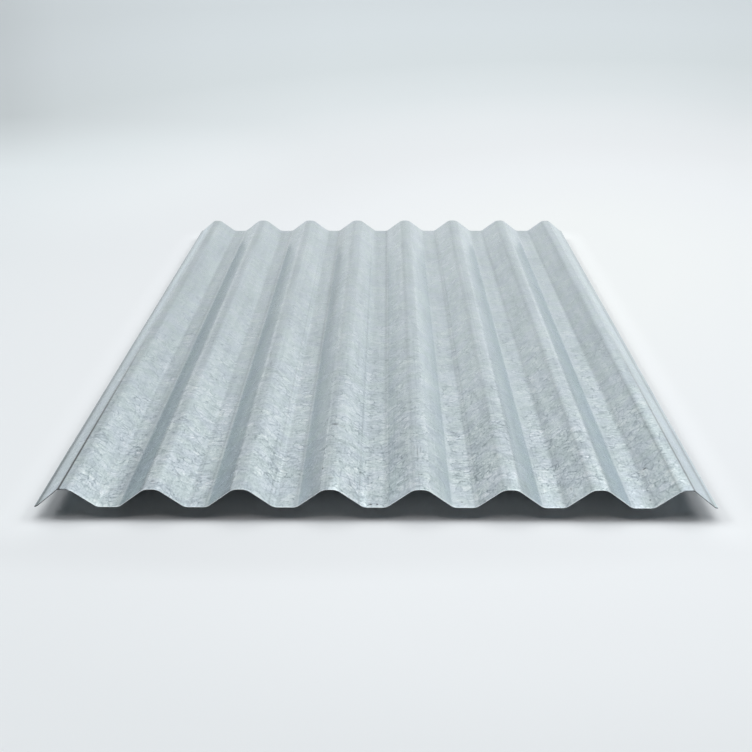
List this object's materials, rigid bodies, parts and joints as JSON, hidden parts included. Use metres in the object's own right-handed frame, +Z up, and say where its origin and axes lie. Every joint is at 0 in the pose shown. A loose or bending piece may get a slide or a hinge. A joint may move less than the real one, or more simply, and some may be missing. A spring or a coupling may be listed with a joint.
{
  "type": "corrugated galvanized steel sheet",
  "caption": "Rectangular corrugated sheet of thin galvanized steel, with flat-bottomed troughs and rounded crests along its length, for roofing, cladding and fencing.",
  "frame": {"origin": "on the underside of the middle trough, half way along the sheet, at the level the sheet lies on", "axes": "+Y along the corrugations, +X across them, +Z up, from the troughs to the crests"},
  "size_m": [0.5878, 0.9144, 0.018],
  "materials": {
    "galvanized_steel": "hot-dip galvanized, dull pale grey with a faint blue-green tint, mottled with soft zinc spangle, a bare sheared edge all round"
  },
  "bodies": {
    "root": {"corrugated_sheet": "galvanized_steel"}
  },
  "joints": []
}
